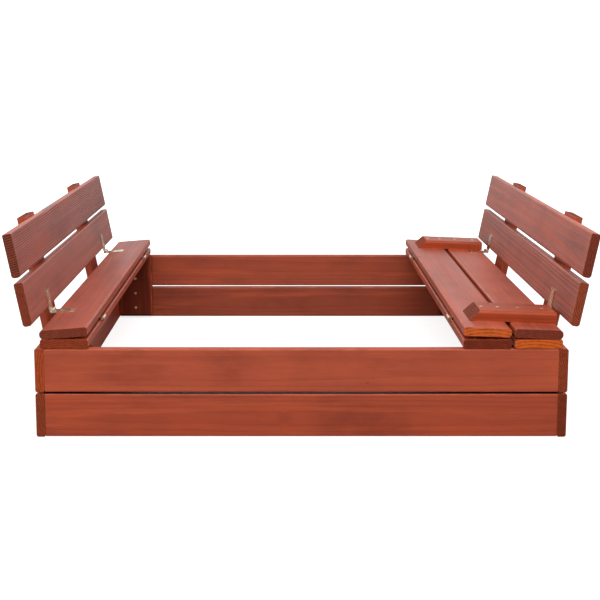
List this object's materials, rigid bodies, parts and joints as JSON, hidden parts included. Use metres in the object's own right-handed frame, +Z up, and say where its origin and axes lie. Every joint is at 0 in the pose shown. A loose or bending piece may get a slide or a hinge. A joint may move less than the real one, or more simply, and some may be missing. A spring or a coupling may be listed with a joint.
{
  "type": "sandbox with folding bench cover",
  "caption": "Low square timber sandbox frame with no floor, whose cover folds open from the middle into a bench with a leaning backrest on each side.",
  "frame": {"origin": "middle of the square frame at ground level, under the centre of the sand well", "axes": "+X to the right as seen from the front, towards the two-board bench; +Y to the back, along the cover boards; +Z up"},
  "size_m": [1.37, 1.2, 0.4709],
  "materials": {
    "wall_timber": "satin red-brown wood stain",
    "post_timber": "satin red-brown wood stain",
    "seat_timber": "satin red-brown wood stain",
    "backrest_timber": "satin red-brown wood stain",
    "hinge_steel": "yellow zinc plate",
    "pin_steel": "bright zinc plate",
    "screw_steel": "yellow zinc plate"
  },
  "bodies": {
    "frame": {"back_wall_lower": "wall_timber", "back_wall_upper": "wall_timber", "corner_post_back_left": "post_timber", "corner_post_back_right": "post_timber", "corner_post_front_left": "post_timber", "corner_post_front_right": "post_timber", "fixed_board_left": "seat_timber", "fixed_board_right_inner": "seat_timber", "fixed_board_right_outer": "seat_timber", "fixed_board_screws": "screw_steel", "fixed_hinge_screws": "screw_steel", "front_wall_lower": "wall_timber", "front_wall_upper": "wall_timber", "post_screws": "screw_steel", "seat_hinge_left_fixed_leaves": "hinge_steel", "seat_hinge_left_pins": "pin_steel", "seat_hinge_right_fixed_leaves": "hinge_steel", "seat_hinge_right_pins": "pin_steel", "side_wall_left_lower": "wall_timber", "side_wall_left_upper": "wall_timber", "side_wall_right_lower": "wall_timber", "side_wall_right_upper": "wall_timber", "wall_screws": "screw_steel"},
    "left_seat": {"back_hinge_left_pins": "pin_steel", "back_hinge_left_seat_leaves": "hinge_steel", "seat_board_left": "seat_timber", "seat_hinge_left_moving_leaves": "hinge_steel", "seat_left_hinge_screws": "screw_steel"},
    "left_back": {"back_hinge_left_back_leaves": "hinge_steel", "back_left_hinge_screws": "screw_steel", "backrest_left_lower": "backrest_timber", "backrest_left_upper": "backrest_timber", "strut_left_back": "backrest_timber", "strut_left_front": "backrest_timber", "strut_left_screws": "screw_steel"},
    "right_seat": {"back_hinge_right_pins": "pin_steel", "back_hinge_right_seat_leaves": "hinge_steel", "batten_back": "seat_timber", "batten_front": "seat_timber", "batten_screws": "screw_steel", "seat_board_right_inner": "seat_timber", "seat_board_right_outer": "seat_timber", "seat_hinge_right_moving_leaves": "hinge_steel", "seat_right_hinge_screws": "screw_steel"},
    "right_back": {"back_hinge_right_back_leaves": "hinge_steel", "back_right_hinge_screws": "screw_steel", "backrest_right_lower": "backrest_timber", "backrest_right_upper": "backrest_timber", "strut_right_back": "backrest_timber", "strut_right_front": "backrest_timber", "strut_right_screws": "screw_steel"}
  },
  "joints": [
    {"name": "left_seat_fold", "type": "hinge", "parent": "frame", "child": "left_seat", "pos_m": [-0.4745, 0, 0.2305], "axis": [0, 1, 0], "range_deg": [0, 184.65]},
    {"name": "left_back_fold", "type": "hinge", "parent": "left_seat", "child": "left_back", "pos_m": [-0.59549, 0, 0.25015], "axis": [0, -1, 0], "range_deg": [0, 83.45]},
    {"name": "right_seat_fold", "type": "hinge", "parent": "frame", "child": "right_seat", "pos_m": [0.359, 0, 0.2305], "axis": [0, -1, 0], "range_deg": [0, 182.2]},
    {"name": "right_back_fold", "type": "hinge", "parent": "right_seat", "child": "right_back", "pos_m": [0.59446, 0, 0.25087], "axis": [0, 1, 0], "range_deg": [0, 81]}
  ],
  "couplings": [
    {"joint": "left_back_fold", "follows": "left_seat_fold", "ratio": 0.45195},
    {"joint": "right_back_fold", "follows": "right_seat_fold", "ratio": 0.44457}
  ]
}
